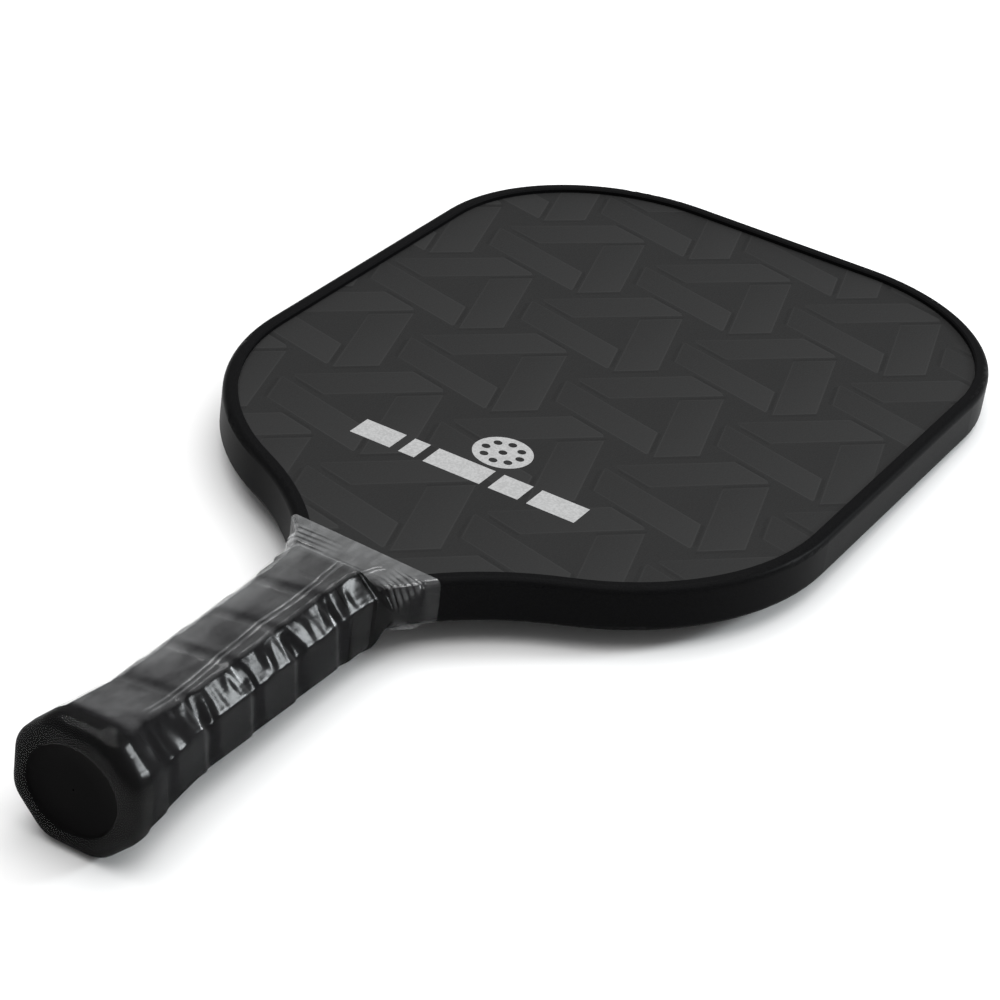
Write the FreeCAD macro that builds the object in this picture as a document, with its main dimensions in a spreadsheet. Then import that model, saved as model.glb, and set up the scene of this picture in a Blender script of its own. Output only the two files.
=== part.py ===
import FreeCAD, Part

import math
import os

import Sketcher

# Pickleball paddle. Row frame: +X runs along the handle towards the blade's tip, +Z points out of
# the front face and Y runs across the blade. The origin is the centre of the butt cap's end face,
# on the handle's axis, which is also the middle plane of the blade. Lengths are millimetres.

DRIVING_SIZES = [
    # alias, value, what it is
    ("face_tip", 400.9, "x of the far edge of the open hitting face"),
    ("face_half_width", 93.6, "half width of the open hitting face"),
    ("corner_radius", 60.5, "radius of the two far corners of the face"),
    ("shoulder_start", 231.7, "x where the straight sides turn in towards the handle"),
    ("shoulder_radius", 80.3, "radius of the convex shoulders"),
    ("shoulder_turn", 62.4, "degrees that the shoulders turn"),
    ("throat_radius", 100.3, "radius of the concave throat curves"),
    ("core_thickness", 10.0, "thickness of the honeycomb core"),
    ("veil_thickness", 0.1, "thickness of the bonded veil on each side of the core"),
    ("sheet_thickness", 0.4, "thickness of each fibreglass face sheet"),
    ("film_thickness", 0.1, "thickness of each printed grip film"),
    ("film_start", 123.5, "x where the printed films begin"),
    ("film_inset", 0.1, "how far the films stop short of the guard's lips"),
    ("cell_pitch", 8.0, "distance between neighbouring core cells"),
    ("cell_wall", 0.4, "thickness of the walls between core cells"),
    ("core_rim", 0.6, "thickness of the closed wall round the core"),
    ("lip_overlap", 2.7, "how far the guard's lips lie over the panel"),
    ("tape_thickness", 0.2, "thickness of the guard's bonding tape"),
    ("guard_reach", 4.6, "how far the guard stands outside the open face"),
    ("guard_half_height", 7.2, "half of the guard's thickness"),
    ("guard_rounding", 2.2, "radius of the guard's outer edges"),
    ("lip_chamfer", 0.5, "chamfer of the guard's inner lip edges"),
    ("guard_start", 125.2, "x where the two ends of the guard stop"),
    ("grip_half_width", 15.7, "half width of the wrapped grip"),
    ("grip_half_height", 14.35, "half thickness of the wrapped grip"),
    ("grip_bevel", 7.1, "corner cut of the wrapped grip's octagon"),
    ("grip_thickness", 1.6, "thickness of the cushioned wrap"),
    ("grip_end", 112.0, "x of the wrap's blade end"),
    ("underlay_thickness", 0.15, "thickness of the double-sided tape under the wrap"),
    ("collar_half_width", 19.6, "half width of the butt cap's collar"),
    ("collar_half_height", 18.85, "half thickness of the butt cap's collar"),
    ("collar_bevel", 10.9, "corner cut of the collar's octagon"),
    ("collar_end", 6.5, "x of the step from the collar to the skirt"),
    ("flare_length", 27.0, "length over which the flare dies out"),
    ("rim_height", 0.6, "how far the rim stands proud of the butt end face"),
    ("rim_rounding", 4.0, "radius round the outer rim of the butt cap"),
    ("collar_rounding", 5.0, "radius of the collar's corners"),
    ("end_half_width", 14.1, "half width of the oval butt end face"),
    ("end_half_height", 12.9, "half height of the oval butt end face"),
    ("cap_floor", 3.0, "thickness of the butt cap's end wall"),
    ("cap_gap", 0.2, "gap between the cap's floor and the end of the panel"),
    ("socket_gap", 0.05, "slack between the cap's socket and the bare handle"),
    ("pallet_end", 122.0, "x of the pallets' blade end"),
    ("ramp_start", 105.0, "x where the pallets start to ramp down"),
    ("ramp_foot", 0.8, "height left at the foot of the pallets' ramp"),
    ("adhesive_thickness", 0.1, "thickness of the glue under each pallet"),
    ("staple_x", 19.0, "x of the staples that hold the butt cap"),
    ("staple_top", 15.3, "height of a staple's crown over the handle's axis"),
    ("staple_crown", 9.0, "width across a staple's crown"),
    ("staple_wire", 0.7, "side of the staples' square wire"),
    ("staple_leg", 5.0, "depth of the staples' legs below the crown"),
    ("finish_start", 102.5, "x of the finishing tape's handle edge"),
    ("finish_end", 113.5, "x of the finishing tape's blade edge"),
    ("finish_thickness", 0.35, "thickness of the wound finishing tape"),
    ("sleeve_thickness", 0.15, "thickness of the clear shrink sleeve"),
    ("sleeve_gap", 0.1, "slack between the sleeve and what it covers"),
    ("ball_radius", 9.3, "radius of the printed ball device"),
    ("ball_x", 210.0, "x of the printed ball device's centre"),
    ("hole_radius", 1.35, "radius of the ball device's holes"),
    ("hole_ring", 5.86, "radius of the ring that the ball device's outer holes lie on"),
    ("bar_x", 189.2, "x of the near edge of the printed bars"),
    ("bar_height", 9.8, "size of the printed bars along x"),
]

ORIGIN = -1
START = 1
END = 2
CENTRE = 3

doc = FreeCAD.newDocument("Paddle")
nodes = {}
size = {}


def fill_sheet():
    """Put the driving sizes in the spreadsheet and keep their values at hand."""
    sheet = doc.addObject("Spreadsheet::Sheet", "Sizes")
    for row, (alias, value, meaning) in enumerate(DRIVING_SIZES, start=1):
        sheet.set(f"A{row}", meaning)
        sheet.set(f"B{row}", str(value))
        sheet.setAlias(f"B{row}", alias)
        size[alias] = value
    doc.recompute()


def cell(text):
    """An expression with each alias led by the sheet's name."""
    words = []
    for word in text.split():
        bare = word.strip("()")
        words.append(word.replace(bare, "Sizes." + bare) if bare in size else word)
    return " ".join(words)


def value_of(text):
    """The number that an expression of aliases stands for, in the current sheet."""
    return float(doc.getObject("Sizes").evalExpression(cell(text)))


def bind(thing, **properties):
    """Bind properties of an object to expressions; a double underscore stands for a dot."""
    for name, expression in properties.items():
        thing.setExpression(name.replace("__", "."), cell(expression))


def node(name, thing):
    """Register an object as the sub-part called name."""
    thing.Label = name
    nodes[name] = thing
    return thing


# ---------------------------------------------------------------- bodies and sketches

def new_body(name):
    return node(name, doc.addObject("PartDesign::Body", name))


def origin_plane(body, role):
    """The body's own origin plane with the given role, such as XY_Plane."""
    return next(plane for plane in body.Origin.OriginFeatures if plane.Role == role)


def new_sketch(body, name, role, offset="0"):
    """A sketch on one of the body's origin planes, moved along the plane's normal by offset."""
    sketch = body.newObject("Sketcher::SketchObject", name)
    sketch.AttachmentSupport = [(origin_plane(body, role), "")]
    sketch.MapMode = "FlatFace"
    bind(sketch, AttachmentOffset__Base__z=offset)
    return sketch


def dimension(sketch, kind, where, expression):
    """Add a dimension to a sketch and bind it to an expression."""
    index = sketch.addConstraint(Sketcher.Constraint(kind, *where, value_of(expression)))
    sketch.setExpression(f"Constraints[{index}]", cell(expression))


def pad(body, sketch, length, symmetric=False):
    feature = body.newObject("PartDesign::Pad", sketch.Name + "_pad")
    feature.Profile = sketch
    feature.SideType = "Symmetric" if symmetric else "One side"
    bind(feature, Length=length)
    return feature


def pocket(body, sketch, length, symmetric=False):
    """A cut against the sketch's normal or, when symmetric, to both sides of the sketch."""
    feature = body.newObject("PartDesign::Pocket", sketch.Name + "_pocket")
    feature.Profile = sketch
    feature.SideType = "Symmetric" if symmetric else "One side"
    bind(feature, Length=length)
    return feature


def edges_where(base, chosen):
    """Names of the edges of base whose middle point and end points pass the test."""
    doc.recompute()
    names = []
    for number, edge in enumerate(base.Shape.Edges, start=1):
        middle = edge.valueAt((edge.FirstParameter + edge.LastParameter) / 2)
        if chosen(middle, edge.Vertexes[0].Point, edge.Vertexes[-1].Point):
            names.append(f"Edge{number}")
    return names


def round_edges(body, base, radius, chosen):
    feature = body.newObject("PartDesign::Fillet", base.Name + "_round")
    feature.Base = (base, edges_where(base, chosen))
    bind(feature, Radius=radius)
    return feature


def chamfer_edges(body, base, width, chosen):
    feature = body.newObject("PartDesign::Chamfer", base.Name + "_chamfer")
    feature.Base = (base, edges_where(base, chosen))
    bind(feature, Size=width)


def draw_polygon(sketch, corners):
    """A closed polygon whose corners are pairs of expressions."""
    points = [FreeCAD.Vector(value_of(x), value_of(y), 0) for x, y in corners]
    count = len(points)
    for index, point in enumerate(points):
        sketch.addGeometry(Part.LineSegment(point, points[(index + 1) % count]))
    for index, (x, y) in enumerate(corners):
        joint = Sketcher.Constraint("Coincident", index, END, (index + 1) % count, START)
        sketch.addConstraint(joint)
        dimension(sketch, "DistanceX", (ORIGIN, START, index, START), x)
        dimension(sketch, "DistanceY", (ORIGIN, START, index, START), y)


def draw_oval(sketch, half_width, half_height):
    """An ellipse about the sketch's origin, wider than it is high."""
    centre = FreeCAD.Vector(0, 0, 0)
    side = FreeCAD.Vector(value_of(half_width), 0, 0)
    top = FreeCAD.Vector(0, value_of(half_height), 0)
    sketch.addGeometry(Part.Ellipse(side, top, centre))
    sketch.exposeInternalGeometry(0)
    sketch.addConstraint(Sketcher.Constraint("Coincident", 0, CENTRE, ORIGIN, START))
    sketch.addConstraint(Sketcher.Constraint("Horizontal", 1))
    dimension(sketch, "Distance", (1,), f"2 * {half_width}")
    dimension(sketch, "Distance", (2,), f"2 * {half_height}")


# ---------------------------------------------------------------- blade outline

def throat_centre():
    """Centre of the throat curve on the +Y side."""
    turn = math.radians(size["shoulder_turn"])
    reach = size["shoulder_radius"] + size["throat_radius"]
    x = size["shoulder_start"] - reach * math.sin(turn)
    y = size["face_half_width"] - size["shoulder_radius"] + reach * math.cos(turn)
    return x, y


def half_width_at(x, offset):
    """Half width at x of the blade outline, moved out by offset."""
    corner_x = size["face_tip"] - size["corner_radius"]
    shoulder_x = size["shoulder_start"]
    shoulder_radius = size["shoulder_radius"] + offset
    turned_x = shoulder_x - shoulder_radius * math.sin(math.radians(size["shoulder_turn"]))
    if x > corner_x:
        rise = math.sqrt(max(0.0, (size["corner_radius"] + offset) ** 2 - (x - corner_x) ** 2))
        return size["face_half_width"] - size["corner_radius"] + rise
    if x > shoulder_x:
        return size["face_half_width"] + offset
    if x > turned_x:
        rise = math.sqrt(shoulder_radius ** 2 - (x - shoulder_x) ** 2)
        return size["face_half_width"] - size["shoulder_radius"] + rise
    throat_x, throat_y = throat_centre()
    return throat_y - math.sqrt((size["throat_radius"] - offset) ** 2 - (x - throat_x) ** 2)


def outline_start(offset, stop, tongue):
    """Where the throat curve begins: at x = stop, or where it meets a tongue's side."""
    if tongue is None:
        return stop, half_width_at(stop, offset)
    x, y = throat_centre()
    return x + math.sqrt((size["throat_radius"] - offset) ** 2 - (y - tongue) ** 2), tongue


def line(x1, y1, x2, y2):
    return Part.LineSegment(FreeCAD.Vector(x1, y1, 0), FreeCAD.Vector(x2, y2, 0))


def arc(centre, side, radius, first, last):
    """An arc given by its angles in degrees on the +Y side, mirrored when side is -1."""
    if side < 0:
        first, last = -last, -first
    circle = Part.Circle(FreeCAD.Vector(centre[0], side * centre[1], 0), FreeCAD.Vector(0, 0, 1), radius)
    return Part.ArcOfCircle(circle, math.radians(first), math.radians(last))


def side_curves(offset, side, start):
    """Corner, straight side, shoulder and throat of one side of the outline."""
    corner = (size["face_tip"] - size["corner_radius"], size["face_half_width"] - size["corner_radius"])
    shoulder = (size["shoulder_start"], size["face_half_width"] - size["shoulder_radius"])
    throat = throat_centre()
    flat = side * (size["face_half_width"] + offset)
    turn = size["shoulder_turn"]
    begin = math.degrees(math.atan2(start[1] - throat[1], start[0] - throat[0]))
    return [
        arc(corner, side, size["corner_radius"] + offset, 0, 90),
        line(corner[0], flat, shoulder[0], flat),
        arc(shoulder, side, size["shoulder_radius"] + offset, 90, 90 + turn),
        arc(throat, side, size["throat_radius"] - offset, begin, turn - 90),
    ]


def closing_lines(start, stop, tongue):
    """The straight end of the outline or, with a tongue, its two sides and its end."""
    x, y = start
    if tongue is None:
        return [line(x, y, x, -y)]
    return [line(x, y, stop, y), line(x, -y, stop, -y), line(stop, y, stop, -y)]


def tip_line(offset):
    half_length = size["face_half_width"] - size["corner_radius"]
    tip = size["face_tip"] + offset
    return line(tip, -half_length, tip, half_length)


def draw_blade(sketch, offset, stop, tongue=None):
    """Draw the blade outline moved out by offset. It ends in a straight line at x = stop or,
    with a tongue, in a tongue of that half width which reaches x = stop."""
    shift = value_of(offset)
    end_x = value_of(stop)
    half_tongue = value_of(tongue) if tongue else None
    start = outline_start(shift, end_x, half_tongue)
    tip = sketch.addGeometry(tip_line(shift))
    sketch.addConstraint(Sketcher.Constraint("Vertical", tip))
    dimension(sketch, "DistanceX", (ORIGIN, START, tip, START), f"face_tip + {offset}")
    loose_ends = [draw_side(sketch, offset, side, start, tip) for side in (1, -1)]
    closing = [sketch.addGeometry(curve) for curve in closing_lines(start, end_x, half_tongue)]
    end_line = closing[-1]
    sketch.addConstraint(Sketcher.Constraint("Vertical", end_line))
    dimension(sketch, "DistanceX", (ORIGIN, START, end_line, START), stop)
    for index, (side, point) in enumerate(((1, START), (-1, END))):
        throat, end = loose_ends[index]
        if tongue:
            tongue_side = closing[index]
            sketch.addConstraint(Sketcher.Constraint("Coincident", throat, end, tongue_side, START))
            sketch.addConstraint(Sketcher.Constraint("Coincident", tongue_side, END, end_line, point))
            sketch.addConstraint(Sketcher.Constraint("Horizontal", tongue_side))
            where = (ORIGIN, START, tongue_side, START)
            dimension(sketch, "DistanceY", where, f"{side} * ( {tongue} )")
        else:
            sketch.addConstraint(Sketcher.Constraint("Coincident", throat, end, end_line, point))


def draw_side(sketch, offset, side, start, tip):
    """Draw and constrain one side of the outline; returns the throat curve's free end."""
    curves = side_curves(value_of(offset), side, start)
    corner, flat, shoulder, throat = [sketch.addGeometry(curve) for curve in curves]
    near, far = (START, END) if side > 0 else (END, START)
    for first, first_end, second, second_end in (
        (tip, far, corner, near),
        (corner, far, flat, START),
        (flat, END, shoulder, near),
        (shoulder, far, throat, far),
    ):
        sketch.addConstraint(Sketcher.Constraint("Tangent", first, first_end, second, second_end))
    sketch.addConstraint(Sketcher.Constraint("Horizontal", flat))
    half_width = f"{side} * ( face_half_width + {offset} )"
    reach = "( shoulder_radius + throat_radius ) * sin( shoulder_turn * 1 deg )"
    dimension(sketch, "DistanceY", (ORIGIN, START, flat, START), half_width)
    dimension(sketch, "Radius", (corner,), f"corner_radius + {offset}")
    dimension(sketch, "Radius", (shoulder,), f"shoulder_radius + {offset}")
    dimension(sketch, "Radius", (throat,), f"throat_radius - ( {offset} )")
    dimension(sketch, "DistanceX", (ORIGIN, START, shoulder, CENTRE), "shoulder_start")
    dimension(sketch, "DistanceX", (ORIGIN, START, throat, CENTRE), f"shoulder_start - {reach}")
    return throat, near


# ---------------------------------------------------------------- panel: core, veils, face sheets

BARE_HALF_WIDTH = "grip_half_width - grip_thickness - underlay_thickness"
BARE_HALF_HEIGHT = "grip_half_height - grip_thickness - underlay_thickness"
BEVEL_LOSS = round(2 - math.sqrt(2), 4)  # an octagon's corner cut shrinks by this when it moves in by 1
CORE_TOP = "core_thickness / 2"
VEIL_TOP = CORE_TOP + " + veil_thickness"
SHEET_TOP = VEIL_TOP + " + sheet_thickness"
FILM_TOP = SHEET_TOP + " + film_thickness"
PANEL_START = "cap_floor + cap_gap"


def panel_layer(name, side, bottom, thickness):
    """A layer bonded to the core, with the core's outline and tongue, on the front or back."""
    body = new_body(name)
    level = bottom if side > 0 else f"0 - ( {bottom} ) - {thickness}"
    sketch = new_sketch(body, name + "_outline", "XY_Plane", level)
    draw_blade(sketch, "lip_overlap", PANEL_START, BARE_HALF_WIDTH)
    pad(body, sketch, thickness)


def outline_wire(offset, stop, tongue):
    start = outline_start(offset, stop, tongue)
    curves = [tip_line(offset)] + closing_lines(start, stop, tongue)
    for side in (1, -1):
        curves += side_curves(offset, side, start)
    return Part.Wire(Part.__sortEdges__([curve.toShape() for curve in curves]))


def hexagon(x, y, radius):
    corners = [math.radians(60 * step) for step in range(7)]
    return Part.makePolygon([
        FreeCAD.Vector(x + radius * math.cos(angle), y + radius * math.sin(angle), 0)
        for angle in corners
    ])


def cell_wires(inner, offset, stop, tongue):
    """Outlines of the core's open cells, cut off where they meet the inner outline."""
    pitch = size["cell_pitch"]
    radius = (pitch - size["cell_wall"]) / math.sqrt(3)
    smallest_cell = 0.1 * pitch ** 2
    column_step = pitch * math.sqrt(3) / 2
    columns = int((size["face_tip"] + offset - stop) / column_step) + 2
    rows = int((size["face_half_width"] + offset) / pitch) + 2
    wires = []
    for column in range(columns):
        x = stop + column * column_step
        for row in range(-rows, rows + 1):
            y = (row + 0.5 * (column % 2)) * pitch
            if min(reach(x + dx, offset, tongue) for dx in (-radius, 0, radius)) > abs(y) + radius:
                if stop + radius < x < size["face_tip"] + offset - radius:
                    wires.append(hexagon(x, y, radius))
                    continue
            if max(reach(x + dx, offset, tongue) for dx in (-radius, 0, radius)) > abs(y) - radius:
                for piece in Part.Face(hexagon(x, y, radius)).common(inner).Faces:
                    if piece.Area > smallest_cell:
                        wires.append(piece.OuterWire)
    return wires


def reach(x, offset, tongue):
    """Half width of the panel at x, tongue included; nothing lies past the tip."""
    if x > size["face_tip"] + offset:
        return 0.0
    start_x = outline_start(offset, 0.0, tongue)[0]
    return tongue if x < start_x else half_width_at(x, offset)


def honeycomb_core():
    """The polypropylene honeycomb: one panel with open hexagonal cells and a closed rim."""
    rim = size["core_rim"]
    offset = size["lip_overlap"]
    stop = value_of(PANEL_START)
    tongue = value_of(BARE_HALF_WIDTH)
    outer = outline_wire(offset, stop, tongue)
    inner = Part.Face(outline_wire(offset - rim, stop + rim, tongue - rim))
    holes = cell_wires(inner, offset - rim, stop + rim, tongue - rim)
    plate = Part.makeFace([outer] + holes, "Part::FaceMakerBullseye")
    core = node("honeycomb_core", doc.addObject("Part::Feature", "honeycomb_core"))
    core.Shape = plate.extrude(FreeCAD.Vector(0, 0, size["core_thickness"]))
    underside = FreeCAD.Vector(0, 0, -size["core_thickness"] / 2)
    core.Placement = FreeCAD.Placement(underside, FreeCAD.Rotation())


# ---------------------------------------------------------------- printed films and marks

# y of the lower edge and width across the face of each printed bar
BARS = ((27.0, 14.0), (18.5, 5.5), (-4.0, 19.5), (-17.0, 10.0), (-36.0, 16.0))
RING_HOLES = 8


def printed_mark(name, side):
    """A ball with a ring of holes and a row of plain bars, printed flush with the film."""
    level = SHEET_TOP if side > 0 else f"0 - ( {FILM_TOP} )"
    ball = doc.addObject("Part::Cylinder", name + "_ball")
    bind(ball, Radius="ball_radius", Height="film_thickness")
    bind(ball, Placement__Base__x="ball_x", Placement__Base__z=level)
    places = [("ball_x", "0")]
    for index in range(RING_HOLES):
        angle = 2 * math.pi * index / RING_HOLES
        places.append((f"ball_x + {math.cos(angle):.4f} * hole_ring", f"{math.sin(angle):.4f} * hole_ring"))
    holes = []
    for index, (x, y) in enumerate(places):
        hole = doc.addObject("Part::Cylinder", f"{name}_hole_{index}")
        bind(hole, Radius="hole_radius", Height="film_thickness")
        bind(hole, Placement__Base__x=x, Placement__Base__y=y, Placement__Base__z=level)
        holes.append(hole)
    drilled = doc.addObject("Part::MultiFuse", name + "_holes")
    drilled.Shapes = holes
    device = doc.addObject("Part::Cut", name + "_device")
    device.Base = ball
    device.Tool = drilled
    bars = []
    for index, (edge, width) in enumerate(BARS):
        bar = doc.addObject("Part::Box", f"{name}_bar_{index}")
        bind(bar, Length="bar_height", Width=str(width), Height="film_thickness")
        bind(bar, Placement__Base__x="bar_x", Placement__Base__y=str(edge), Placement__Base__z=level)
        bars.append(bar)
    mark = node(name, doc.addObject("Part::Compound", name))
    mark.Links = [device] + bars
    return mark


def graphic_film(name, side, mark):
    """The printed film on a face, cut out where the mark is printed."""
    body = doc.addObject("PartDesign::Body", name + "_sheet")
    level = SHEET_TOP if side > 0 else f"0 - ( {FILM_TOP} )"
    sketch = new_sketch(body, name + "_outline", "XY_Plane", level)
    draw_blade(sketch, "0 - film_inset", "film_start")
    pad(body, sketch, "film_thickness")
    film = node(name, doc.addObject("Part::Cut", name))
    film.Base = body
    film.Tool = mark


# ---------------------------------------------------------------- edge guard

PAST_GUARD = "guard_start - 3"  # where the cuts that open the guard's ends stop


def edge_guard():
    """The moulded U-shaped guard that runs round the blade from throat to throat."""
    body = new_body("edge_guard")
    top = size["guard_half_height"]
    outer = new_sketch(body, "guard_outside", "XY_Plane")
    draw_blade(outer, "guard_reach", "guard_start")
    solid = pad(body, outer, "2 * guard_half_height", symmetric=True)

    def outer_edge(middle, first, last):
        at_end = max(middle.x, first.x, last.x) < size["guard_start"] + 0.01
        return abs(abs(middle.z) - top) < 0.01 and not at_end

    round_edges(body, solid, "guard_rounding", outer_edge)
    opening = new_sketch(body, "guard_opening", "XY_Plane")
    draw_blade(opening, "0", PAST_GUARD)
    opened = pocket(body, opening, "3 * guard_half_height", symmetric=True)

    def lip_edge(middle, first, last):
        inside = abs(middle.y) < half_width_at(middle.x, 0) + 0.01 and middle.x < size["face_tip"] + 0.01
        at_end = max(middle.x, first.x, last.x) < size["guard_start"] + 0.01
        return abs(abs(middle.z) - top) < 0.01 and inside and not at_end

    chamfer_edges(body, opened, "lip_chamfer", lip_edge)
    channel = new_sketch(body, "guard_channel", "XY_Plane")
    draw_blade(channel, "lip_overlap + tape_thickness", PAST_GUARD)
    pocket(body, channel, f"2 * ( {SHEET_TOP} )", symmetric=True)


def edge_guard_tape():
    """The bonding tape between the panel's edge and the guard's web."""
    body = new_body("edge_guard_tape")
    outer = new_sketch(body, "tape_outside", "XY_Plane")
    draw_blade(outer, "lip_overlap + tape_thickness", "guard_start")
    pad(body, outer, "core_thickness", symmetric=True)
    inner = new_sketch(body, "tape_inside", "XY_Plane")
    draw_blade(inner, "lip_overlap", PAST_GUARD)
    pocket(body, inner, "core_thickness", symmetric=True)


# ---------------------------------------------------------------- handle sections

def octagon(half_width, half_height, bevel):
    """Corners of an octagon, anticlockwise from the lower right."""
    w, h, c = f"( {half_width} )", f"( {half_height} )", f"( {bevel} )"
    right, top = f"{w} - {c}", f"{h} - {c}"
    quarter = [(w, top), (right, h)]
    corners = [(w, f"0 - ( {top} )")] + quarter
    corners += [(f"0 - ( {right} )", h), (f"0 - {w}", top), (f"0 - {w}", f"0 - ( {top} )")]
    corners += [(f"0 - ( {right} )", f"0 - {h}"), (right, f"0 - {h}")]
    return corners


def handle_octagon(flare, inset):
    """The handle's octagon, flare = 0 at the grip and 1 at the collar, moved in by inset."""
    return octagon(
        f"grip_half_width + {flare} * ( collar_half_width - grip_half_width ) - ( {inset} )",
        f"grip_half_height + {flare} * ( collar_half_height - grip_half_height ) - ( {inset} )",
        f"grip_bevel + {flare} * ( collar_bevel - grip_bevel ) - {BEVEL_LOSS} * ( {inset} )",
    )


FLARE_STEPS = 3
FLARE_SOFTNESS = 1.15


def flare_stations(inset, steps=FLARE_STEPS):
    """Sections of the flare behind the collar, whose width dies out along a soft curve."""
    stations = []
    for step in range(steps + 1):
        flare = round((1 - step / FLARE_STEPS) ** FLARE_SOFTNESS, 3)
        x = f"collar_end + {step} * flare_length / {FLARE_STEPS}"
        stations.append((x, handle_octagon(flare, inset)))
    return stations


def loft(body, kind, name, stations):
    """A ruled loft through polygons: each station is an x position and the polygon's corners."""
    sketches = []
    for index, (x, corners) in enumerate(stations):
        sketch = new_sketch(body, f"{name}_{index}", "YZ_Plane", x)
        draw_polygon(sketch, corners)
        sketches.append(sketch)
    feature = body.newObject("PartDesign::" + kind, name + "_loft")
    feature.Profile = sketches[0]
    feature.Sections = sketches[1:]
    feature.Ruled = True
    return feature


# ---------------------------------------------------------------- handle

SKIRT_END = f"collar_end + {FLARE_STEPS - 1} * flare_length / {FLARE_STEPS}"


def handle_pallet(name, side):
    """The half handle glued to one face of the tongue, with a curved ramp at the blade end."""
    body = new_body(name)
    bevel = f"( grip_bevel - {BEVEL_LOSS} * ( grip_thickness + underlay_thickness ) )"
    base = f"{side} * ( {SHEET_TOP} + adhesive_thickness )"
    shoulder = f"{side} * ( {BARE_HALF_HEIGHT} - {bevel} )"
    top = f"{side} * ( {BARE_HALF_HEIGHT} )"
    edge = f"( {BARE_HALF_WIDTH} )"
    section = new_sketch(body, name + "_section", "YZ_Plane", PANEL_START)
    draw_polygon(section, [
        (f"0 - {edge}", base), (edge, base), (edge, shoulder),
        (f"{edge} - {bevel}", top), (f"0 - {edge} + {bevel}", top), (f"0 - {edge}", shoulder),
    ])
    pad(body, section, f"pallet_end - ( {PANEL_START} )")
    ramp = new_sketch(body, name + "_ramp", "XZ_Plane")
    foot = f"{base} + {side} * ramp_foot"
    draw_polygon(ramp, [
        ("ramp_start", top),
        ("( 2 * ramp_start + pallet_end ) / 3", f"( 7 * {top} + {foot} ) / 8"),
        ("( ramp_start + 2 * pallet_end ) / 3", f"( {top} + {foot} ) / 2"),
        ("pallet_end", foot),
        ("pallet_end", f"{top} + {side} * 1"),
        ("ramp_start", f"{top} + {side} * 1"),
    ])
    pocket(body, ramp, f"3 * {edge}", symmetric=True)
    return body


def pallet_adhesive(name, side):
    """The glue line between a pallet and the face sheet."""
    glue = node(name, doc.addObject("Part::Box", name))
    level = SHEET_TOP if side > 0 else f"0 - ( {SHEET_TOP} ) - adhesive_thickness"
    bind(glue, Length=f"pallet_end - ( {PANEL_START} )", Width=f"2 * ( {BARE_HALF_WIDTH} )")
    bind(glue, Height="adhesive_thickness", Placement__Base__x=PANEL_START)
    bind(glue, Placement__Base__y=f"0 - ( {BARE_HALF_WIDTH} )", Placement__Base__z=level)


def butt_cap():
    """The moulded cap: a rounded collar, a flared skirt under the wrap and a socket."""
    body = new_body("butt_cap")
    collar = new_sketch(body, "cap_collar", "YZ_Plane", "0 - rim_height")
    draw_polygon(collar, handle_octagon(1, "0"))
    solid = pad(body, collar, "collar_end + rim_height")

    def corner_edge(middle, first, last):
        return abs(first.x - last.x) > 1

    def rim_edge(middle, first, last):
        return abs(middle.x + size["rim_height"]) < 0.01

    sides = round_edges(body, solid, "collar_rounding", corner_edge)
    round_edges(body, sides, "rim_rounding", rim_edge)
    loft(body, "AdditiveLoft", "cap_skirt", flare_stations("grip_thickness", FLARE_STEPS - 1))
    socket = new_sketch(body, "cap_socket", "YZ_Plane", SKIRT_END)
    draw_polygon(socket, handle_octagon(0, "grip_thickness + underlay_thickness - socket_gap"))
    pocket(body, socket, f"{SKIRT_END} - cap_floor")
    recess = new_sketch(body, "cap_recess", "YZ_Plane")
    draw_oval(recess, "end_half_width", "end_half_height")
    pocket(body, recess, "rim_height")
    return body


def underlay_tape():
    """The double-sided tape wound on the bare handle, ahead of the cap's skirt."""
    body = new_body("grip_underlay_tape")
    begin = f"{SKIRT_END} + cap_gap"
    outer = new_sketch(body, "underlay_outside", "YZ_Plane", begin)
    draw_polygon(outer, handle_octagon(0, "grip_thickness"))
    pad(body, outer, f"ramp_start - ( {begin} )")
    inner = new_sketch(body, "underlay_inside", "YZ_Plane", "ramp_start")
    draw_polygon(inner, handle_octagon(0, "grip_thickness + underlay_thickness"))
    pocket(body, inner, f"ramp_start - ( {begin} )")


def grip_wrap():
    """The cushioned wrap, from the collar's step over the skirt to the throat."""
    body = new_body("grip_wrap")
    end = [("grip_end", handle_octagon(0, "0"))]
    inner_end = [("grip_end", handle_octagon(0, "grip_thickness"))]
    loft(body, "AdditiveLoft", "wrap_outside", flare_stations("0") + end)
    loft(body, "SubtractiveLoft", "wrap_inside", flare_stations("grip_thickness") + inner_end)
    return body


def finishing_tape():
    """The tape wound round the wrap's end at the throat."""
    body = new_body("grip_finishing_tape")
    outer = new_sketch(body, "finish_outside", "YZ_Plane", "finish_start")
    draw_polygon(outer, handle_octagon(0, "0 - finish_thickness"))
    pad(body, outer, "finish_end - finish_start")
    inner = new_sketch(body, "finish_inside", "YZ_Plane", "finish_end")
    draw_polygon(inner, handle_octagon(0, "0"))
    pocket(body, inner, "finish_end - finish_start")


ROLL_STEPS = 4  # facets of the sleeve's roll round the butt cap's rim
# where the sleeve leaves the tape: x, half width, height over the guard's lips and corner cut
SLEEVE_SHOULDER = (119.0, 17.0, 5.6, 5.5)
# x, and the height over the guard's lips, as the sleeve draws down on the blade and the guard
SLEEVE_THROAT = ((125.0, 2.8), (130.5, 0.9), (136.5, 0.0))
SLEEVE_CORNER = "1.0"
SLEEVE_BEFORE_TAPE = 1.5  # how far before the finishing tape the sleeve leaves the wrap
SLEEVE_PAST_TAPE = 0.5  # how far past the finishing tape's edges it keeps the tape's size


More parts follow.
